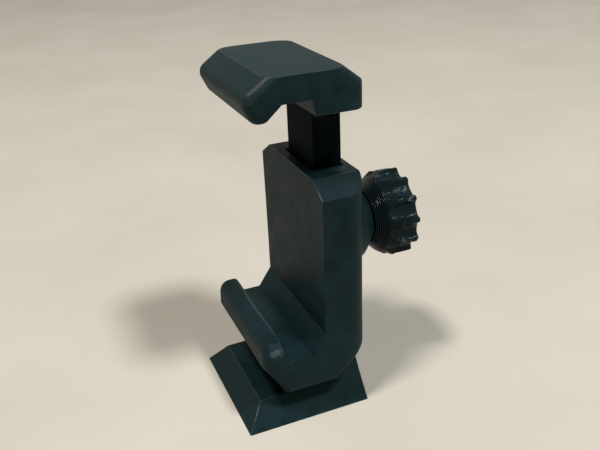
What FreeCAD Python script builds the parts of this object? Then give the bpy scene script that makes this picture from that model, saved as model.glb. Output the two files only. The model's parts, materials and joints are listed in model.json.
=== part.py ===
import FreeCAD, Part
import math
import os
import Sketcher

# Phone holder for a tripod: three printed pieces, closed by one bolt and its nut.
# +X is across the jaws, -Y is the side where the phone sits, +Y is the knob's side and +Z is up.
# The origin is the middle of the underside of the dovetail plate.

sizes = {
    # dovetail plate and the neck that carries the holder on it
    "plate_width": 45.6,
    "plate_length": 41.4,
    "plate_height": 7.6,
    "plate_inset": 6.0,
    "neck_width": 24.8,
    "neck_rise": 6.4,
    "neck_depth": 27.0,
    "neck_lean": 3.0,
    # column behind the phone, with the lower jaw at its foot
    "holder_width": 48.0,
    "column_depth": 15.0,
    "column_top": 79.4,
    "holder_bottom": 11.5,
    "outer_round": 6.8,
    "shoulder_drop": 4.4,
    "foot_round": 3.6,
    "heel_height": 10.8,
    "heel_depth": 10.5,
    "jaw_reach": 20.2,
    "toe_depth": 7.2,
    "toe_height": 23.0,
    "floor_height": 24.2,
    "floor_start": 12.4,
    "floor_end": 4.6,
    "ramp_height": 6.6,
    "lip_height": 31.3,
    "lip_lean": 0.3,
    "lip_inside": 13.6,
    "lip_outer_round": 4.0,
    "lip_inner_round": 1.2,
    # stem of the sliding jaw and the channel it runs in
    "stem_width": 20.0,
    "stem_depth": 9.0,
    "stem_reach": 60.2,
    "stem_round": 0.5,
    "front_wall": 3.5,
    "slide_gap": 0.3,
    "jaw_rest_gap": 0.3,
    "stem_floor_gap": 1.5,
    "mouth_chamfer": 0.6,
    # sliding jaw, whose heights are measured from the underside of its block
    "jaw_lift": 19.6,
    "jaw_width": 43.0,
    "jaw_height": 12.3,
    "jaw_back": 15.4,
    "back_slope_depth": 5.8,
    "back_slope_height": 4.6,
    "back_round": 4.0,
    "brow_reach": 13.7,
    "nose_reach": 20.9,
    "nose_rise": 7.2,
    "arm_rise": 4.7,
    "block_lean": 1.0,
    "arm_end": 7.8,
    "lip_drop": 0.4,
    "lip_back": 13.6,
    "lip_front": 17.4,
    "nose_round": 3.2,
    "lip_back_round": 3.0,
    "front_round": 3.2,
    # clamp screw on the back of the column
    "screw_height": 55.2,
    "boss_radius": 14.5,
    "boss_length": 9.5,
    "waist_radius": 8.8,
    "waist_gap": 0.3,
    "flare_length": 7.1,
    "flare_bulge": 0.7,
    "knob_radius": 14.6,
    "knob_length": 13.8,
    "knob_lobes": 12,
    "flute_radius": 3.0,
    "flute_depth": 2.2,
    "flute_turn": 7.8,
    "rim_chamfer": 0.5,
    # bolt and nut, with the clearances between them and the prints
    "bolt_radius": 3.0,
    "tip_chamfer": 0.6,
    "tip_gap": 0.2,
    "hex_flats": 10.0,
    "hex_chamfer": 0.45,
    "head_height": 4.0,
    "head_sink": 1.6,
    "press_gap": 0.05,
    "nut_height": 5.0,
    "nut_sink": 0.4,
    "nut_gap": 0.1,
    "thread_gap": 0.05,
    "bolt_hole_gap": 0.4,
}

doc = FreeCAD.newDocument("phone_holder")
sheet = doc.addObject("Spreadsheet::Sheet", "Sizes")
for row, (alias, value) in enumerate(sizes.items(), start=1):
    sheet.set(f"A{row}", alias)
    sheet.set(f"B{row}", str(value))
    sheet.setAlias(f"B{row}", alias)
doc.recompute()

# Places that several pieces share, written from the sheet's sizes.
BACK = "Sizes.plate_length / 2"
FACE = f"({BACK} - Sizes.column_depth)"
CHANNEL_FRONT = f"({FACE} + Sizes.front_wall)"
STEM_FRONT = f"({CHANNEL_FRONT} + Sizes.slide_gap)"
STEM_BACK = f"({STEM_FRONT} + Sizes.stem_depth)"
CHANNEL_BACK = f"({STEM_BACK} + Sizes.slide_gap)"
CHANNEL_FLOOR = "(Sizes.column_top + Sizes.jaw_rest_gap - Sizes.stem_reach - Sizes.stem_floor_gap)"
NUT_START = f"({CHANNEL_BACK} + Sizes.nut_sink)"
BOSS_END = f"({BACK} + Sizes.boss_length)"
KNOB_START = f"({BOSS_END} + Sizes.waist_gap)"
HEAD_SEAT = "(Sizes.knob_length - Sizes.head_sink - Sizes.head_height)"
BOLT_START = f"({STEM_BACK} + Sizes.tip_gap)"
BOLT_LENGTH = f"({KNOB_START} + {HEAD_SEAT} - {BOLT_START})"
HAIR = 1e-4


def value_of(formula):
    return float(sheet.evalExpression(formula.replace("Sizes.", "")))


def near(a, b):
    return abs(a - b) < HAIR


def from_axis(point):
    return math.hypot(point.x, point.y)


def new_body(label, along=None, up=None):
    """A body at the origin, or one modelled upright whose axis then lies along +Y."""
    body = doc.addObject("PartDesign::Body", label)
    body.Label = label
    if along:
        body.Placement = FreeCAD.Placement(FreeCAD.Vector(), FreeCAD.Rotation(FreeCAD.Vector(1, 0, 0), -90))
        body.setExpression("Placement.Base.y", along)
    if up:
        body.setExpression("Placement.Base.z", up)
    return body


def new_sketch(body, name, role, offset="0", lift="0"):
    """A sketch on one of the body's planes, moved along its normal and up within it by formulas."""
    sketch = body.newObject("Sketcher::SketchObject", name)
    plane = next(item for item in body.Origin.OriginFeatures if item.Role == role)
    sketch.AttachmentSupport = [(plane, "")]
    sketch.MapMode = "FlatFace"
    sketch.setExpression("AttachmentOffset.Base.z", offset)
    sketch.setExpression("AttachmentOffset.Base.y", lift)
    return sketch


def hold(sketch, line, end, corner):
    """Ties one end of a line to its two coordinates, each a formula of the sheet."""
    for kind, axis, formula in zip(("DistanceX", "DistanceY"), (-2, -1), corner):
        if formula == "0":
            sketch.addConstraint(Sketcher.Constraint("PointOnObject", line, end, axis))
            continue
        here = value_of(formula)
        ends = (-1, 1, line, end) if here >= 0 else (line, end, -1, 1)
        index = sketch.addConstraint(Sketcher.Constraint(kind, *ends, abs(here)))
        sketch.setExpression(f"Constraints[{index}]", formula if here >= 0 else f"-({formula})")


def outline(sketch, corners):
    """A closed outline through corners given as formulas."""
    points = [FreeCAD.Vector(value_of(a), value_of(b), 0) for a, b in corners]
    count = len(points)
    sides = [sketch.addGeometry(Part.LineSegment(start, points[(i + 1) % count]))
             for i, start in enumerate(points)]
    for i, side in enumerate(sides):
        sketch.addConstraint(Sketcher.Constraint("Coincident", side, 2, sides[(i + 1) % count], 1))
        hold(sketch, side, 1, corners[i])


def circle(sketch, radius, across="0"):
    centre = FreeCAD.Vector(value_of(across), 0, 0)
    ring = sketch.addGeometry(Part.Circle(centre, FreeCAD.Vector(0, 0, 1), value_of(radius)))
    hold(sketch, ring, 3, (across, "0"))
    index = sketch.addConstraint(Sketcher.Constraint("Radius", ring, value_of(radius)))
    sketch.setExpression(f"Constraints[{index}]", radius)


def hexagon(sketch, flats):
    """A hexagon with a corner straight above its middle, from its size across flats."""
    side, corner = f"({flats}) / 2", f"({flats}) / 2 / cos(30)"
    outline(sketch, [("0", corner), (f"-{side}", f"{corner} / 2"), (f"-{side}", f"-{corner} / 2"),
                     ("0", f"-{corner}"), (side, f"-{corner} / 2"), (side, f"{corner} / 2")])


def rectangle(sketch, low, high):
    outline(sketch, [(low[0], low[1]), (high[0], low[1]), (high[0], high[1]), (low[0], high[1])])


def extrude(body, kind, name, sketch, length, symmetric=False, reversed_way=False):
    feature = body.newObject(f"PartDesign::{kind}", name)
    feature.Profile = sketch
    if symmetric:
        feature.SideType = "Symmetric"
    feature.Reversed = reversed_way
    feature.setExpression("Length", length)
    doc.recompute()
    return feature


def turn(body, kind, name, sketch, axis):
    feature = body.newObject(f"PartDesign::{kind}", name)
    feature.Profile = sketch
    feature.ReferenceAxis = (sketch, [axis])
    doc.recompute()


def edges_where(shape, test):
    """Names of the edges whose two ends and middle all pass the test."""
    names = []
    for index, edge in enumerate(shape.Edges, start=1):
        middle = edge.valueAt((edge.FirstParameter + edge.LastParameter) / 2)
        points = [vertex.Point for vertex in edge.Vertexes] + [middle]
        if all(test(point) for point in points):
            names.append(f"Edge{index}")
    return names


def soften(body, kind, name, size, test):
    """A fillet or chamfer on the edges of the body's tip that pass the test."""
    base = body.Tip
    names = edges_where(base.Shape, test)
    if not names:
        raise RuntimeError(f"{body.Label}: no edge for {name}")
    feature = body.newObject(f"PartDesign::{kind}", name)
    feature.Base = (base, names)
    feature.setExpression("Radius" if kind == "Fillet" else "Size", size)
    doc.recompute()


# Holder body: plate, neck, lower jaw, column and boss, printed as one piece.
def make_holder_body():
    body = new_body("holder_body")
    side = new_sketch(body, "holder_side", "YZ_Plane")
    outline(side, [
        (FACE, "Sizes.column_top"),
        (BACK, "Sizes.column_top"),
        (BACK, "Sizes.holder_bottom + Sizes.heel_height"),
        (f"{BACK} - Sizes.heel_depth", "Sizes.holder_bottom"),
        (f"{FACE} - Sizes.jaw_reach + Sizes.toe_depth", "Sizes.holder_bottom"),
        (f"{FACE} - Sizes.jaw_reach", "Sizes.toe_height"),
        (f"{FACE} - Sizes.jaw_reach + Sizes.lip_lean", "Sizes.lip_height"),
        (f"{FACE} - Sizes.lip_inside", "Sizes.lip_height"),
        (f"{FACE} - Sizes.floor_start", "Sizes.floor_height"),
        (f"{FACE} - Sizes.floor_end", "Sizes.floor_height"),
        (FACE, "Sizes.floor_height + Sizes.ramp_height"),
    ])
    extrude(body, "Pad", "holder_block", side, "Sizes.holder_width", symmetric=True)
    round_holder(body)
    add_plate_and_neck(body)
    add_boss(body)
    cut_channel(body)
    cut_nut_seat(body)
    return body


def round_holder(body):
    half, back = value_of("Sizes.holder_width / 2"), value_of(BACK)
    floor, lip_top = value_of("Sizes.floor_height"), value_of("Sizes.lip_height")
    lip_inside = value_of(f"{FACE} - Sizes.lip_inside")
    lip_outside = value_of(f"{FACE} - Sizes.jaw_reach + Sizes.lip_lean")

    def on_foot(point):
        """The side outline from the heel round the toe to the lip, without the phone's side."""
        return near(abs(point.x), half) and (point.z < floor - HAIR or point.y < lip_inside - HAIR)

    soften(body, "Fillet", "column_round", "Sizes.outer_round", lambda p: near(abs(p.x), half) and near(p.y, back))
    cut_shoulders(body)
    soften(body, "Fillet", "foot_round", "Sizes.foot_round", on_foot)
    soften(body, "Fillet", "lip_outer_round", "Sizes.lip_outer_round",
           lambda p: near(p.y, lip_outside) and near(p.z, lip_top))
    soften(body, "Fillet", "lip_inner_round", "Sizes.lip_inner_round",
           lambda p: near(p.y, lip_inside) and near(p.z, lip_top))


def cut_shoulders(body):
    """The column's top slopes off towards both sides, from where its back corners start to turn."""
    for name, way in (("near", ""), ("far", "-")):
        front = new_sketch(body, f"{name}_shoulder", "XZ_Plane", f"-{BACK}")
        side, eaves = f"{way}Sizes.holder_width / 2", "Sizes.column_top - Sizes.shoulder_drop"
        ridge = f"{way}(Sizes.holder_width / 2 - Sizes.outer_round)"
        outline(front, [(ridge, "Sizes.column_top"), (side, "Sizes.column_top"), (side, eaves)])
        extrude(body, "Pocket", f"{name}_shoulder_cut", front, "Sizes.column_depth", reversed_way=True)


def add_plate_and_neck(body):
    """The plate slopes in on three sides, and the neck carries its flanks on up under the jaw."""
    plate_half = "Sizes.plate_width / 2"
    top_half = f"({plate_half} - Sizes.plate_inset)"
    neck_top = "(Sizes.plate_height + Sizes.neck_rise)"
    neck_front = f"({BACK} - Sizes.neck_depth)"
    tiers = [
        ("plate", ("0", plate_half, f"-{BACK}"),
         ("Sizes.plate_height", top_half, f"-{BACK} + Sizes.plate_inset")),
        ("neck", ("Sizes.plate_height", top_half, neck_front),
         (neck_top, "Sizes.neck_width / 2", f"{neck_front} + Sizes.neck_lean")),
    ]
    for name, *levels in tiers:
        sections = []
        for place, (height, half, front) in zip(("foot", "head"), levels):
            section = new_sketch(body, f"{name}_{place}", "XY_Plane", height)
            rectangle(section, (f"-{half}", front), (half, BACK))
            sections.append(section)
        loft = body.newObject("PartDesign::AdditiveLoft", name)
        loft.Profile, loft.Sections = sections[0], sections[1:]
        doc.recompute()
    post = new_sketch(body, "neck_post_plan", "XY_Plane", neck_top)
    rectangle(post, ("-Sizes.neck_width / 2", f"{BACK} - Sizes.heel_depth"), ("Sizes.neck_width / 2", BACK))
    extrude(body, "Pad", "neck_post", post, f"Sizes.holder_bottom + Sizes.heel_height - {neck_top}")


def add_boss(body):
    """A round boss behind the column, tapered to a waist like the knob that faces it."""
    side = new_sketch(body, "boss_side", "YZ_Plane", lift="Sizes.screw_height")
    outline(side, [(CHANNEL_BACK, "0"), (CHANNEL_BACK, "Sizes.boss_radius"),
                   (f"{BOSS_END} - Sizes.flare_length", "Sizes.boss_radius"),
                   (f"{BOSS_END} - Sizes.flare_length / 2",
                    "(Sizes.boss_radius + Sizes.waist_radius) / 2 + Sizes.flare_bulge"),
                   (BOSS_END, "Sizes.waist_radius"), (BOSS_END, "0")])
    turn(body, "Revolution", "boss", side, "H_Axis")


def cut_channel(body):
    """The stem's channel is open at the column's top and closed above the plate."""
    plan = new_sketch(body, "channel_plan", "XY_Plane", CHANNEL_FLOOR)
    half = "(Sizes.stem_width / 2 + Sizes.slide_gap)"
    rectangle(plan, (f"-{half}", CHANNEL_FRONT), (half, CHANNEL_BACK))
    extrude(body, "Pocket", "channel", plan, f"Sizes.column_top - {CHANNEL_FLOOR}", reversed_way=True)
    top, reach, low, high = (value_of(text) for text in ("Sizes.column_top", half, CHANNEL_FRONT, CHANNEL_BACK))
    soften(body, "Chamfer", "channel_mouth", "Sizes.mouth_chamfer",
           lambda p: near(p.z, top) and abs(p.x) < reach + HAIR and low - HAIR < p.y < high + HAIR)


def cut_nut_seat(body):
    """The nut's pocket opens into the channel, so that clamping pulls the nut against the boss."""
    seat = new_sketch(body, "nut_seat_plan", "XZ_Plane", f"-{CHANNEL_BACK}", "Sizes.screw_height")
    hexagon(seat, "Sizes.hex_flats + 2 * Sizes.nut_gap")
    extrude(body, "Pocket", "nut_seat", seat, "Sizes.nut_height + Sizes.nut_sink")
    hole = new_sketch(body, "bolt_hole_plan", "XZ_Plane", f"-{CHANNEL_BACK}", "Sizes.screw_height")
    circle(hole, "Sizes.bolt_radius + Sizes.bolt_hole_gap")
    extrude(body, "Pocket", "bolt_hole", hole, f"{BOSS_END} - {CHANNEL_BACK}")


# Sliding jaw: the upper jaw and its stem, printed as one piece.
def make_sliding_jaw():
    body = new_body("sliding_jaw", up="Sizes.column_top + Sizes.jaw_lift")
    side = new_sketch(body, "jaw_side", "YZ_Plane")
    jaw_back = f"({FACE} + Sizes.jaw_back)"
    outline(side, [
        (f"{FACE} - Sizes.brow_reach", "Sizes.jaw_height"),
        (f"{jaw_back} - Sizes.back_slope_depth", "Sizes.jaw_height"),
        (jaw_back, "Sizes.jaw_height - Sizes.back_slope_height"),
        (jaw_back, "0"),
        (FACE, "0"),
        (f"{FACE} - Sizes.block_lean", "Sizes.arm_rise"),
        (f"{FACE} - Sizes.arm_end", "Sizes.arm_rise"),
        (f"{FACE} - Sizes.lip_back", "-Sizes.lip_drop"),
        (f"{FACE} - Sizes.lip_front", "-Sizes.lip_drop"),
        (f"{FACE} - Sizes.nose_reach", "Sizes.nose_rise"),
    ])
    extrude(body, "Pad", "jaw_block", side, "Sizes.jaw_width", symmetric=True)
    round_jaw(body, value_of(jaw_back))
    plan = new_sketch(body, "stem_plan", "XY_Plane")
    rectangle(plan, ("-Sizes.stem_width / 2", STEM_FRONT), ("Sizes.stem_width / 2", STEM_BACK))
    extrude(body, "Pad", "stem", plan, "Sizes.stem_reach", reversed_way=True)
    stem_half, stem_front, stem_back = (value_of(text) for text in ("Sizes.stem_width / 2", STEM_FRONT, STEM_BACK))
    soften(body, "Fillet", "stem_round", "Sizes.stem_round",
           lambda p: near(abs(p.x), stem_half) and (near(p.y, stem_front) or near(p.y, stem_back)))
    return body


def round_jaw(body, back):
    half = value_of("Sizes.jaw_width / 2")
    slope_start = back - value_of("Sizes.back_slope_depth")
    nose, nose_height = value_of(f"{FACE} - Sizes.nose_reach"), value_of("Sizes.nose_rise")
    lip_front, lip_back = (value_of(f"{FACE} - Sizes.{name}") for name in ("lip_front", "lip_back"))
    lip_bottom, brow = -value_of("Sizes.lip_drop"), value_of(f"{FACE} - Sizes.brow_reach")
    soften(body, "Fillet", "nose_round", "Sizes.nose_round",
           lambda p: near(p.y, nose) and near(p.z, nose_height) or near(p.y, lip_front) and near(p.z, lip_bottom))
    soften(body, "Fillet", "lip_back_round", "Sizes.lip_back_round",
           lambda p: near(p.y, lip_back) and near(p.z, lip_bottom))
    soften(body, "Fillet", "back_round", "Sizes.back_round",
           lambda p: near(abs(p.x), half) and p.y > slope_start - HAIR)
    soften(body, "Fillet", "front_round", "Sizes.front_round",
           lambda p: near(abs(p.x), half) and p.y < brow + HAIR)


# Clamp knob: lobed, flared from its waist, with the bolt's head sunk in its outer face.
def make_clamp_knob():
    body = new_body("clamp_knob", KNOB_START, "Sizes.screw_height")
    plan = new_sketch(body, "knob_plan", "XY_Plane")
    circle(plan, "Sizes.knob_radius")
    extrude(body, "Pad", "knob_disc", plan, "Sizes.knob_length")
    cut_flutes(body)
    side = new_sketch(body, "flare_side", "XZ_Plane")
    clear = "Sizes.knob_radius + Sizes.flute_radius"
    outline(side, [("Sizes.knob_radius", "Sizes.flare_length"),
                   ("(Sizes.knob_radius + Sizes.waist_radius) / 2 + Sizes.flare_bulge", "Sizes.flare_length / 2"),
                   ("Sizes.waist_radius", "0"), (clear, "0"), (clear, "Sizes.flare_length")])
    turn(body, "Groove", "flare", side, "V_Axis")
    end, waist = value_of("Sizes.knob_length"), value_of("Sizes.waist_radius")
    soften(body, "Chamfer", "rim_chamfer", "Sizes.rim_chamfer",
           lambda p: near(p.z, end) and from_axis(p) > waist)
    head = new_sketch(body, "head_seat_plan", "XY_Plane", "Sizes.knob_length")
    hexagon(head, "Sizes.hex_flats + 2 * Sizes.press_gap")
    extrude(body, "Pocket", "head_seat", head, "Sizes.head_height + Sizes.head_sink")
    shank = new_sketch(body, "shank_hole_plan", "XY_Plane", "Sizes.knob_length")
    circle(shank, "Sizes.bolt_radius + Sizes.press_gap")
    extrude(body, "Pocket", "shank_hole", shank, "Sizes.knob_length")
    return body


def cut_flutes(body):
    """Round-bottomed flutes along the knob leave its lobes."""
    plan = new_sketch(body, "flute_plan", "XY_Plane", "Sizes.knob_length")
    circle(plan, "Sizes.flute_radius", "Sizes.knob_radius - Sizes.flute_depth + Sizes.flute_radius")
    plan.setExpression("AttachmentOffset.Rotation.Angle", "Sizes.flute_turn")
    flute = extrude(body, "Pocket", "flute", plan, "Sizes.knob_length")
    ring = body.newObject("PartDesign::PolarPattern", "flutes")
    ring.Originals = [flute]
    ring.Axis = (plan, ["N_Axis"])
    ring.Angle = 360
    ring.setExpression("Occurrences", "Sizes.knob_lobes")
    body.Tip = ring
    doc.recompute()


# Clamp bolt: a hexagon head and a shank that presses on the stem.
def make_clamp_bolt():
    body = new_body("clamp_bolt", BOLT_START, "Sizes.screw_height")
    plan = new_sketch(body, "shank_plan", "XY_Plane")
    circle(plan, "Sizes.bolt_radius")
    extrude(body, "Pad", "shank", plan, BOLT_LENGTH)
    soften(body, "Chamfer", "tip_chamfer", "Sizes.tip_chamfer", lambda p: near(p.z, 0))
    head_end = f"({BOLT_LENGTH} + Sizes.head_height)"
    add_hexagon(body, "head", BOLT_LENGTH, "Sizes.head_height")
    trim_corners(body, "head_corners", head_end, f"{head_end} - Sizes.hex_chamfer")
    return body


# Captive nut: sits in the holder's hexagonal pocket.
def make_captive_nut():
    body = new_body("captive_nut", NUT_START, "Sizes.screw_height")
    add_hexagon(body, "nut", "0", "Sizes.nut_height")
    trim_corners(body, "outer_corners", "Sizes.nut_height", "Sizes.nut_height - Sizes.hex_chamfer")
    trim_corners(body, "inner_corners", "0", "Sizes.hex_chamfer")
    bore = new_sketch(body, "bore_plan", "XY_Plane", "Sizes.nut_height")
    circle(bore, "Sizes.bolt_radius + Sizes.thread_gap")
    extrude(body, "Pocket", "bore", bore, "Sizes.nut_height")
    return body


def add_hexagon(body, name, start, height):
    plan = new_sketch(body, f"{name}_plan", "XY_Plane", start)
    hexagon(plan, "Sizes.hex_flats")
    extrude(body, "Pad", name, plan, height)


def trim_corners(body, name, end, shoulder):
    """Cones off the corners of a hexagon between its end face and a shoulder line."""
    side = new_sketch(body, f"{name}_side", "XZ_Plane")
    corner = "Sizes.hex_flats / 2 / cos(30)"
    outline(side, [("Sizes.hex_flats / 2", end), (corner, end), (corner, shoulder)])
    turn(body, "Groove", name, side, "V_Axis")


def main():
    bodies = [make_holder_body(), make_sliding_jaw(), make_clamp_knob(), make_clamp_bolt(), make_captive_nut()]
    doc.recompute()
    for item in doc.Objects:
        if "Invalid" in item.State or "Error" in item.State:
            raise RuntimeError(f"{item.Label} failed: {item.State}")
    for body in bodies:
        if body.Shape.isNull() or not body.Shape.isValid() or len(body.Shape.Solids) != 1:
            raise RuntimeError(f"{body.Label} is not one sound solid")
        print(body.Label, round(body.Shape.Volume, 1), body.Shape.BoundBox)
    os.makedirs("parts", exist_ok=True)
    for body in bodies:
        body.Shape.exportStep(f"parts/{body.Label}.step")


main()
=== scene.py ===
import json
import math

import bpy
from mathutils import Matrix, Vector
from mathutils.bvhtree import BVHTree


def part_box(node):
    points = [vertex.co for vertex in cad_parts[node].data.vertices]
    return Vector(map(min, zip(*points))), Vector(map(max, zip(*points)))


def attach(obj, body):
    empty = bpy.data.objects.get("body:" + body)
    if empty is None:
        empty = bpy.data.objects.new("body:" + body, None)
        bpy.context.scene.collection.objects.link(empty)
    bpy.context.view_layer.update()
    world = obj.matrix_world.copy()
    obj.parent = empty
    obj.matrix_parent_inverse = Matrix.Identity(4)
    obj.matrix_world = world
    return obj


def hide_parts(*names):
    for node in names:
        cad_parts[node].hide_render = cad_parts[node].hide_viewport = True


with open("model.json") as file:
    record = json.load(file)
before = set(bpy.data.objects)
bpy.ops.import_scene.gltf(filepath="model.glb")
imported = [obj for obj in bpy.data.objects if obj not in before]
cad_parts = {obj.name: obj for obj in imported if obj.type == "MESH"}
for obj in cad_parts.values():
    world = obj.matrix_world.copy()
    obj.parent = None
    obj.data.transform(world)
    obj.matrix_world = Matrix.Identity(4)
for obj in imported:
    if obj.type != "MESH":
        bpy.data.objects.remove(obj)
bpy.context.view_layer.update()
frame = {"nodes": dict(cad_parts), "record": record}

mm = 0.001


# Camera, floor and light

# The camera's place and axes, in the holder's frame; lengths in millimetres.
view = {
    "place": (193.6, -69.7, 157.5),
    "right": (0.3915, 0.9190, -0.0405),
    "down": (0.3846, -0.2033, -0.9000),
    "focalPixels": 728,
    "imageWidth": 600,
    "sensor": 36,
    "nearest": 10,
}

# Two soft ceiling lamps, one towards the phone's side and one towards the near side, over a plain pale
# table. Lengths are in metres.
studio = {
    "tableSize": 2.6,
    "tableTones": ("#d8d3c6", "#dfdace"),
    "tableMottle": {"size": 0.09, "detail": 3.0},
    "tableMottleRange": (0.35, 0.65),
    "tableRoughness": 0.8,
    "tableSpecularLevel": 0.1,
    "roomColour": "#e8e3d8",
    "roomAmbient": 0.05,
    "roomSeen": 0.80,
    "lampDistance": 2.2,
    "lamps": {
        "phoneSideLamp": {"towards": (0.13, -0.33, 1.0), "power": 25.0, "size": 0.34, "colour": "#fffaf3"},
        "nearSideLamp": {"towards": (0.48, 0.26, 1.0), "power": 27.0, "size": 0.34, "colour": "#fbfbfa"},
    },
}


def linearColour(hexColour):
    channels = [int(hexColour[i:i + 2], 16) / 255 for i in (1, 3, 5)]
    return [c / 12.92 if c <= 0.04045 else ((c + 0.055) / 1.055) ** 2.4 for c in channels] + [1]


# Adds one node: values by input, links by input, and its own settings.
def addNode(tree, kind, values=None, links=None, **settings):
    node = tree.nodes.new(kind)
    for name, value in settings.items():
        setattr(node, name, value)
    for socket, value in (values or {}).items():
        node.inputs[socket].default_value = value
    for socket, source in (links or {}).items():
        tree.links.new(source, node.inputs[socket])
    return node


def newMaterial(name):
    material = bpy.data.materials.new(name)
    material.use_nodes = True
    material.node_tree.nodes.clear()
    return material, material.node_tree


def mixTones(tree, factor, dark, light):
    return addNode(tree, "ShaderNodeMix", {6: linearColour(dark), 7: linearColour(light)}, {0: factor},
                   data_type="RGBA").outputs[2]


def remap(tree, value, low, high, newLow=0.0, newHigh=1.0):
    return addNode(tree, "ShaderNodeMapRange",
                   {"From Min": low, "From Max": high, "To Min": newLow, "To Max": newHigh},
                   {"Value": value}).outputs[0]


def combine(tree, operation, first, second):
    node = addNode(tree, "ShaderNodeMath", operation=operation)
    for socket, value in zip(node.inputs, (first, second)):
        if isinstance(value, (int, float)):
            socket.default_value = value
        else:
            tree.links.new(value, socket)
    return node.outputs[0]


# Noise whose clouds are about as wide as the size, in metres.
def makeNoise(tree, place, size, detail):
    return addNode(tree, "ShaderNodeTexNoise", {"Scale": 1 / size, "Detail": detail},
                   {"Vector": place}).outputs[0]


# Bands square to an axis, a pitch apart in metres: a wave texture repeats every 2 pi / 20 of its scale.
def makeBands(tree, place, axis, pitch, distortion, detail, detailScale):
    return addNode(tree, "ShaderNodeTexWave",
                   {"Scale": 2 * math.pi / (20 * pitch), "Distortion": distortion, "Detail": detail,
                    "Detail Scale": detailScale},
                   {"Vector": place}, wave_type="BANDS", bands_direction="XYZ"[axis]).outputs[1]


def placeCamera():
    right, down = Vector(view["right"]).normalized(), Vector(view["down"]).normalized()
    turn = Matrix((right, -down, right.cross(-down))).transposed().to_4x4()
    lens = bpy.data.cameras.new("photoCamera")
    lens.sensor_width = view["sensor"]
    lens.lens = view["focalPixels"] / view["imageWidth"] * view["sensor"]
    lens.clip_start = view["nearest"] * mm
    camera = bpy.data.objects.new("photoCamera", lens)
    camera.matrix_world = Matrix.Translation(Vector(view["place"]) * mm) @ turn
    bpy.context.scene.collection.objects.link(camera)
    bpy.context.scene.camera = camera


def makeTableMaterial():
    material, tree = newMaterial("paleMattTable")
    place = addNode(tree, "ShaderNodeTexCoord").outputs["Object"]
    cloud = remap(tree, makeNoise(tree, place, **studio["tableMottle"]), *studio["tableMottleRange"])
    shader = addNode(tree, "ShaderNodeBsdfPrincipled",
                     {"Roughness": studio["tableRoughness"],
                      "Specular IOR Level": studio["tableSpecularLevel"]},
                     {"Base Color": mixTones(tree, cloud, *studio["tableTones"])})
    addNode(tree, "ShaderNodeOutputMaterial", None, {"Surface": shader.outputs[0]})
    return material


# The room is pale to the camera and in reflections, and dimmer as a lamp.
def makeRoom():
    world = bpy.data.worlds.new("paleRoom")
    world.use_nodes = True
    tree = world.node_tree
    rays = addNode(tree, "ShaderNodeLightPath").outputs
    seen = combine(tree, "MAXIMUM", rays["Is Camera Ray"], rays["Is Glossy Ray"])
    seen = combine(tree, "MAXIMUM", seen, rays["Is Transmission Ray"])
    background = tree.nodes["Background"]
    background.inputs["Color"].default_value = linearColour(studio["roomColour"])
    strength = remap(tree, seen, 0.0, 1.0, studio["roomAmbient"], studio["roomSeen"])
    tree.links.new(strength, background.inputs["Strength"])
    bpy.context.scene.world = world


def buildStudio():
    bpy.ops.object.select_all(action="DESELECT")
    bpy.ops.mesh.primitive_plane_add(size=studio["tableSize"])
    table = bpy.context.object
    table.name = "table"
    table.data.materials.append(makeTableMaterial())
    makeRoom()
    for name, lamp in studio["lamps"].items():
        light = bpy.data.lights.new(name, "AREA")
        light.shape = "DISK"
        light.size = lamp["size"]
        light.energy = lamp["power"]
        light.color = linearColour(lamp["colour"])[:3]
        lampObject = bpy.data.objects.new(name, light)
        towards = Vector(lamp["towards"]).normalized()
        turn = towards.to_track_quat("Z", "Y").to_matrix().to_4x4()
        lampObject.matrix_world = Matrix.Translation(towards * studio["lampDistance"]) @ turn
        bpy.context.scene.collection.objects.link(lampObject)


placeCamera()
buildStudio()
bpy.context.scene.view_settings.view_transform = "Standard"
print("camera, table and lamps ready")


# Materials

# PLA filament, melted and laid down in layers: a blue-black satin skin that goes nearly black in
# the shade, with fine ridges round the sides and the nozzle's diagonal passes on faces square to them.
# Lengths are in millimetres. The real layers of 0.2 mm and passes of 0.4 mm are too fine to show, so
# they are drawn coarser. A finish's axis is the one that the print grew along: 0, 1 or 2.
blackPla = {
    "ior": 1.46,
    "finishes": {
        "side": {
            "axis": 2, "tones": ("#0d2125", "#192f34"), "roughness": (0.46, 0.58), "specularLevel": 0.10,
        },
        # tones a little paler than the side's: painted highlight along the rounded edges, besides their real
        # gloss
        "edge": {
            "axis": 2, "tones": ("#0f2428", "#20363a"), "roughness": (0.30, 0.48), "specularLevel": 0.22,
        },
        "corner": {
            "axis": 2, "tones": ("#0d2125", "#192f34"), "roughness": (0.32, 0.44), "specularLevel": 0.26,
            "depths": {"grain": 0.040, "layers": 0.002},
        },
        # near-black tones: painted shade, where the jaw above shadows the stem
        "stem": {
            "axis": 2, "tones": ("#081012", "#111c1e"), "roughness": (0.46, 0.58), "specularLevel": 0.01,
        },
        "knob": {
            "axis": 1, "tones": ("#08191e", "#10272c"), "roughness": (0.14, 0.22), "specularLevel": 0.12,
            "depths": {"grain": 0.045, "steps": 0.15, "streaks": 0.18},
        },
    },
    "depths": {"grain": 0.016, "layers": 0.012, "passes": 0.020, "steps": 0.0, "streaks": 0.0},
    "mottle": {"size": 7.0 * mm, "detail": 4.0},
    "mottleTones": (0.35, 0.75),
    "mottleGloss": (0.3, 0.7),
    "grain": {"size": 0.40 * mm, "detail": 2.0},
    "layers": {"pitch": 0.6 * mm, "distortion": 0.6, "detail": 1.0, "detailScale": 0.2},
    "passes": {"pitch": 0.9 * mm, "distortion": 1.0, "detail": 2.0, "detailScale": 0.3},
    "passAngle": 45,
    "steps": {"pitch": 0.45 * mm, "distortion": 1.4, "detail": 2.0, "detailScale": 0.8},
    "streaks": {"size": 1.1 * mm, "detail": 2.0},
    "streakSquash": 0.25,
    # how far a face looks along the axis before it has passes in place of layers, and steps in place of streaks
    "capFacing": (0.93, 0.98),
    "slopeFacing": (0.15, 0.50),
}
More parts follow.
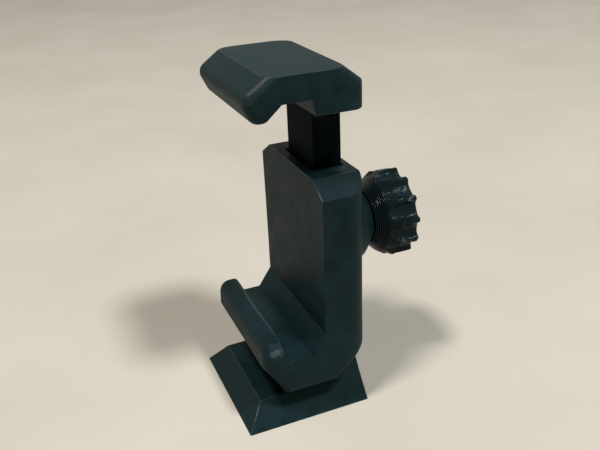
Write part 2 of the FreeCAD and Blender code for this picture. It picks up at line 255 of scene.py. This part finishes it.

# Rough, paler places where the print was torn, bridged or rubbed, and paler painted highlights where rims and
# edges catch the light: the middle and reach of each in millimetres, and its strength.
marksAndPaintedHighlights = {
    "tone": "#44585b",
    "ragged": {"size": 0.9 * mm, "detail": 3.0},
    "raggedRange": (0.3, 0.7, -0.35, 0.35),
    "border": (0.45, 1.0),
    "torn": {"size": 0.9 * mm, "detail": 4.0},
    "depth": 0.20,
    "side": (
        # painted highlight on the rim of the lip's near end, partly a real scuff as well
        ((24.0, -10.6, 29.2), (1.3, 3.1, 2.2), 0.90),    # near end of the lower lip
        # painted highlight along the lip's inner top edge
        ((0.0, -8.6, 31.1), (24.0, 0.8, 0.8), 0.50),     # inner top edge of the lower lip
        ((-9.0, -3.0, 24.2), (14.0, 3.6, 0.8), 0.22),    # bed of the lower jaw beside the lip
        ((-13.0, 9.0, 79.4), (3.0, 3.4, 0.6), 0.15),     # top of the column, on both sides of the stem
        ((13.0, 16.0, 79.4), (3.0, 4.0, 0.6), 0.15),
    ),
    # painted highlights: paler tone where the rounded edges catch the light, at the notch, the plate's corner
    # and the column's eave
    "edge": (
        ((24.0, 3.0, 26.8), (1.0, 4.5, 4.5), 0.90),      # notch between the lower jaw and the column
        ((18.8, -17.0, 4.8), (2.6, 2.6, 3.6), 0.80),     # corner of the plate
        ((22.8, 6.2, 75.2), (2.4, 1.2, 2.6), 0.80),      # eave of the column
    ),
}


# How strongly a point is marked or painted with a highlight, 0 to 1, with ragged borders.
def markStrength(tree, place, places):
    ragged = remap(tree, makeNoise(tree, place, **marksAndPaintedHighlights["ragged"]), *marksAndPaintedHighlights["raggedRange"])
    total = 0.0
    for middle, reach, strength in places:
        away = place
        for operation, values in (("SUBTRACT", middle), ("DIVIDE", reach)):
            away = addNode(tree, "ShaderNodeVectorMath", {1: [value * mm for value in values]}, {0: away},
                           operation=operation).outputs[0]
        distance = addNode(tree, "ShaderNodeVectorMath", None, {0: away}, operation="LENGTH").outputs[1]
        inside = remap(tree, combine(tree, "ADD", distance, ragged), *marksAndPaintedHighlights["border"], strength, 0.0)
        total = combine(tree, "MAXIMUM", inside, total)
    return total


def makePla(finishName):
    finish = blackPla["finishes"][finishName]
    depths = {**blackPla["depths"], **finish.get("depths", {})}
    axis = finish["axis"]
    material, tree = newMaterial(finishName + "Pla")
    coordinates = addNode(tree, "ShaderNodeTexCoord").outputs
    place = coordinates["Object"]
    facing = addNode(tree, "ShaderNodeSeparateXYZ", None, {"Vector": coordinates["Normal"]}).outputs[axis]
    facing = combine(tree, "ABSOLUTE", facing, 0.0)
    capped = remap(tree, facing, *blackPla["capFacing"])
    slope = remap(tree, facing, *blackPla["slopeFacing"])
    sides = combine(tree, "SUBTRACT", 1.0, capped)

    mottle = makeNoise(tree, place, **blackPla["mottle"])
    tone = mixTones(tree, remap(tree, mottle, *blackPla["mottleTones"]), *finish["tones"])
    heights = [(makeNoise(tree, place, **blackPla["grain"]), depths["grain"])]
    # the paler tone is print damage at some places and painted highlight at others
    if finishName in marksAndPaintedHighlights:
        marked = markStrength(tree, place, marksAndPaintedHighlights[finishName])
        torn = makeNoise(tree, place, **marksAndPaintedHighlights["torn"])
        heights.append((combine(tree, "MULTIPLY", torn, marked), marksAndPaintedHighlights["depth"]))
        tone = addNode(tree, "ShaderNodeMix", {7: linearColour(marksAndPaintedHighlights["tone"])}, {0: marked, 6: tone},
                       data_type="RGBA").outputs[2]

    layers = makeBands(tree, place, axis, **blackPla["layers"])
    heights.append((combine(tree, "MULTIPLY", layers, sides), depths["layers"]))

    turn = [0.0, 0.0, 0.0]
    turn[axis] = math.radians(blackPla["passAngle"])
    turned = addNode(tree, "ShaderNodeMapping", {"Rotation": turn}, {"Vector": place}).outputs[0]
    passes = makeBands(tree, turned, (axis + 1) % 3, **blackPla["passes"])
    heights.append((combine(tree, "MULTIPLY", passes, capped), depths["passes"]))

    # on slopes every layer stops short of the one before it, which leaves steps
    steps = makeBands(tree, place, axis, **blackPla["steps"])
    stepped = combine(tree, "MULTIPLY", slope, sides)
    heights.append((combine(tree, "MULTIPLY", steps, stepped), depths["steps"]))

    # the small lobes sagged while soft, which left wavy streaks along them
    squash = [1.0, 1.0, 1.0]
    squash[axis] = blackPla["streakSquash"]
    drawn = addNode(tree, "ShaderNodeMapping", {"Scale": squash}, {"Vector": place}).outputs[0]
    streaks = makeNoise(tree, drawn, **blackPla["streaks"])
    upright = combine(tree, "SUBTRACT", 1.0, slope)
    heights.append((combine(tree, "MULTIPLY", streaks, upright), depths["streaks"]))

    bump = {}
    for height, depth in heights:
        node = addNode(tree, "ShaderNodeBump", {"Strength": 1.0, "Distance": depth * mm},
                       {"Height": height, **bump})
        bump = {"Normal": node.outputs[0]}
    roughness = remap(tree, mottle, *blackPla["mottleGloss"], *finish["roughness"])
    shader = addNode(tree, "ShaderNodeBsdfPrincipled",
                     {"IOR": blackPla["ior"], "Specular IOR Level": finish["specularLevel"]},
                     {"Base Color": tone, "Roughness": roughness, **bump})
    addNode(tree, "ShaderNodeOutputMaterial", None, {"Surface": shader.outputs[0]})
    return material


# Zinc-plated steel, cold formed and tumbled: bright grey with a soft, slightly uneven sheen.
zincSteel = {
    "dull": "#8f918e",
    "bright": "#c3c4c0",
    "roughness": (0.24, 0.40),
    "grain": {"size": 0.5 * mm, "detail": 4.0},
    "grainGloss": (0.3, 0.7),
    "grainDepth": 0.004,     # mm
}


def makeZinc():
    material, tree = newMaterial("zincPlatedSteel")
    grain = makeNoise(tree, addNode(tree, "ShaderNodeTexCoord").outputs["Object"], **zincSteel["grain"])
    bump = addNode(tree, "ShaderNodeBump", {"Distance": zincSteel["grainDepth"] * mm}, {"Height": grain})
    shader = addNode(tree, "ShaderNodeBsdfPrincipled", {"Metallic": 1.0},
                     {"Base Color": mixTones(tree, grain, zincSteel["dull"], zincSteel["bright"]),
                      "Roughness": remap(tree, grain, *zincSteel["grainGloss"], *zincSteel["roughness"]),
                      "Normal": bump.outputs[0]})
    addNode(tree, "ShaderNodeOutputMaterial", None, {"Surface": shader.outputs[0]})
    return material


# Pieces

# How a copied solid is mended and its edges are broken; lengths in millimetres and angles in degrees.
shaping = {
    "joinWithin": 0.001,
    "flatWithin": 0.5,
    "sharpFrom": 30,         # an edge that turns by more than this is broken
    "smoothWithin": 50,      # faces of a broken edge that turn by less than this are shaded as one
    "shortest": 0.28,        # shorter edges are left alone
    "segments": 3,
    "overshoot": 0.03,
}


def only(piece):
    bpy.ops.object.select_all(action="DESELECT")
    piece.select_set(True)
    bpy.context.view_layer.objects.active = piece


def applyModifier(piece, kind, **settings):
    modifier = piece.modifiers.new(kind.title(), kind)
    for name, value in settings.items():
        setattr(modifier, name, value)
    only(piece)
    bpy.ops.object.modifier_apply(modifier=modifier.name)


# A node's own solid, its loose triangles joined and its flat faces made whole again.
def copyNode(nodeName, pieceName, *materials):
    piece = bpy.data.objects.new(pieceName, frame["nodes"][nodeName].data.copy())
    bpy.context.scene.collection.objects.link(piece)
    piece.data.materials.clear()
    for material in materials:
        piece.data.materials.append(material)
    only(piece)
    bpy.ops.object.mode_set(mode="EDIT")
    bpy.ops.mesh.select_all(action="SELECT")
    bpy.ops.mesh.remove_doubles(threshold=shaping["joinWithin"] * mm)
    bpy.ops.mesh.dissolve_limited(angle_limit=math.radians(shaping["flatWithin"]))
    bpy.ops.object.mode_set(mode="OBJECT")
    return piece


# Rounds the edges that the test picks, by their two ends in millimetres.
def roundEdges(piece, width, segments, test):
    only(piece)
    mesh = piece.data
    for part in (mesh.vertices, mesh.edges, mesh.polygons):
        for item in part:
            item.select = False
    picked = 0
    for edge in mesh.edges:
        edge.select = test(*(mesh.vertices[i].co / mm for i in edge.vertices))
        picked += edge.select
    bpy.ops.object.mode_set(mode="EDIT")
    bpy.ops.mesh.select_mode(type="EDGE")
    bpy.ops.mesh.bevel(offset=width * mm, segments=segments, clamp_overlap=True)
    bpy.ops.object.mode_set(mode="OBJECT")
    print(piece.name, picked, "edges rounded by", width, "mm")


# Marks the sharp outward edges for the bevel, and leaves out those that face inwards and the shortest.
def weighEdges(mesh):
    sides = {}
    for face in mesh.polygons:
        for key in face.edge_keys:
            sides.setdefault(key, []).append(face)
    weights = mesh.attributes.new("bevel_weight_edge", "FLOAT", "EDGE")
    for edge in mesh.edges:
        first, second = sides[edge.key]
        start, end = (mesh.vertices[i].co for i in edge.vertices)
        sharp = first.normal.angle(second.normal, 0) > math.radians(shaping["sharpFrom"])
        # across an outward edge, the middle of the second face lies below the first one's plane
        outward = (second.center - start).dot(first.normal) < 0
        weights.data[edge.index].value = sharp and outward and (start - end).length > shaping["shortest"] * mm


# Puts a point that a bevel pushed past the surface back onto it, and none ends up outside the box.
def keepInside(mesh, surface, low, high):
    for vertex in mesh.vertices:
        nearest, normal, face, distance = surface.find_nearest(vertex.co)
        if distance > shaping["overshoot"] * mm and (vertex.co - nearest).dot(normal) > 0:
            vertex.co = nearest
        vertex.co = [max(a, min(b, value)) for a, b, value in zip(low, high, vertex.co)]


# Each corner takes the mean normal of the faces round it that face nearly its way, and large faces count
# more. How near that is comes as one angle for each of the piece's materials.
def smoothNormals(piece, *angles):
    mesh = piece.data
    around = {}
    for face in mesh.polygons:
        for i in face.vertices:
            around.setdefault(i, []).append(face)
    limits = [math.cos(math.radians(angle)) for angle in angles]
    normals = []
    for face in mesh.polygons:
        nearly = limits[face.material_index]
        for i in face.vertices:
            parts = [near.normal * near.area for near in around[i] if near.normal.dot(face.normal) > nearly]
            normals.append(sum(parts, Vector()).normalized())
    only(piece)
    bpy.ops.object.shade_smooth()
    mesh.normals_split_custom_set(normals)


# The rounded edges get the piece's second material, because the nozzle leaves corners smoother than walls; its
# tones are also a little paler than the walls', a painted highlight along the edges.
def breakEdges(piece, width):
    mesh = piece.data
    low, high = (Vector(corner) for corner in (piece.bound_box[0], piece.bound_box[6]))
    surface = BVHTree.FromPolygons([vertex.co.copy() for vertex in mesh.vertices],
                                   [list(face.vertices) for face in mesh.polygons])
    weighEdges(mesh)
    applyModifier(piece, "BEVEL", width=width * mm, segments=shaping["segments"], limit_method="WEIGHT",
                  material=1, use_clamp_overlap=False)
    keepInside(piece.data, surface, low, high)
    applyModifier(piece, "TRIANGULATE")
    smoothNormals(piece, shaping["sharpFrom"], shaping["smoothWithin"])


def finishPiece(piece, nodeName):
    body = next(name for name, nodes in frame["record"]["behaviour"]["bodies"].items() if nodeName in nodes)
    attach(piece, body)
    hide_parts(nodeName)
    print(piece.name, len(piece.data.polygons), "triangles")


# The column's top slopes off over the run on both sides, and its eaves are rounded. All in millimetres.
holder = {
    "shoulderRun": 6.8,
    "shoulderDrop": 4.4,
    "near": 0.05,
    "eaveRound": 1.5,
    "eaveSegments": 5,
    "edgeRound": 0.30,
}


def makeHolder():
    piece = copyNode("holder_body", "printedHolder", sidePla, edgePla)
    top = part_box("holder_body")[1] / mm
    ridge = top.x - holder["shoulderRun"]
    fall = holder["shoulderDrop"] / holder["shoulderRun"]

    def onSlope(point):
        past = abs(point.x) - ridge
        return past > holder["near"] and abs(point.z - top.z + past * fall) < holder["near"]

    def onEave(first, second):
        return onSlope(first) and onSlope(second) and abs(first.y - second.y) > holder["near"]

    roundEdges(piece, holder["eaveRound"], holder["eaveSegments"], onEave)
    breakEdges(piece, holder["edgeRound"])
    finishPiece(piece, "holder_body")


# The corner of the lip on the near side is worn smooth, and the stem gets near-black tones: painted shade,
# where the jaw above shadows it.
# Both are boxes in millimetres, and the corner's faces also tilt to the near side and the phone's side.
jaw = {
    "edgeRound": 0.30,
    "corner": ((17.0, -16.0, 104.5), (24.0, -6.0, 111.0)),
    "cornerTilt": 0.18,
    "stem": ((-11.0, 5.5, 0.0), (11.0, 19.0, 103.0)),
}


def within(point, low, high):
    return all(a < value < b for a, value, b in zip(low, point, high))


def makeJaw():
    piece = copyNode("sliding_jaw", "printedJaw", sidePla, edgePla, cornerPla, stemPla)
    breakEdges(piece, jaw["edgeRound"])
    tilt = jaw["cornerTilt"]
    for face in piece.data.polygons:
        point = face.center / mm
        if within(point, *jaw["corner"]) and face.normal.x > tilt and face.normal.y < -tilt:
            face.material_index = piece.data.materials.find(cornerPla.name)
        # the stem's faces get the painted-shade finish
        if within(point, *jaw["stem"]):
            face.material_index = piece.data.materials.find(stemPla.name)
    finishPiece(piece, "sliding_jaw")


# The lobes are small for the nozzle, so they came out soft and a little uneven. All in millimetres.
knob = {
    "voxel": 0.19,
    "softenFactor": 0.5,
    "softenPasses": 1,
    "headLength": 6.7,       # only this much of the knob, from its outer face, wobbles
    "lobeInside": 12.0,      # and nothing nearer the axis than this
    "fadeStart": 0.3,
    "wobbleSize": 2.8,
    "wobbleDetail": 1,
    "wobbleDepth": 0.70,
}


def makeKnob():
    piece = copyNode("clamp_knob", "printedKnob", knobPla)
    low, high = (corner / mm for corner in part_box("clamp_knob"))
    axisHeight = (low.z + high.z) / 2
    applyModifier(piece, "REMESH", mode="VOXEL", voxel_size=knob["voxel"] * mm)
    applyModifier(piece, "SMOOTH", factor=knob["softenFactor"], iterations=knob["softenPasses"])
    lobes = piece.vertex_groups.new(name="lobes")
    for vertex in piece.data.vertices:
        point = vertex.co / mm
        reach = math.hypot(point.x, point.z - axisHeight) - knob["lobeInside"]
        inside = min(point.y - high.y + knob["headLength"], high.y - point.y) + knob["fadeStart"]
        lobes.add([vertex.index], max(0, min(1, reach, inside)), "REPLACE")
    wobble = bpy.data.textures.new("lobeWobble", "CLOUDS")
    wobble.noise_scale = knob["wobbleSize"] * mm
    wobble.noise_depth = knob["wobbleDetail"]
    # the middle level of 1 lets the wobble only take away, so the knob stays in its own size
    applyModifier(piece, "DISPLACE", texture=wobble, texture_coords="LOCAL",
                  strength=knob["wobbleDepth"] * mm, mid_level=1.0, vertex_group="lobes")
    applyModifier(piece, "TRIANGULATE")
    only(piece)
    bpy.ops.object.shade_smooth()
    finishPiece(piece, "clamp_knob")


sidePla = makePla("side")
edgePla = makePla("edge")
cornerPla = makePla("corner")
stemPla = makePla("stem")
knobPla = makePla("knob")
zinc = makeZinc()
print("materials ready")
makeHolder()
makeJaw()
makeKnob()
for nodeName in ("clamp_bolt", "captive_nut"):
    node = frame["nodes"][nodeName]
    node.data.materials.clear()
    node.data.materials.append(zinc)
print("pieces dressed")
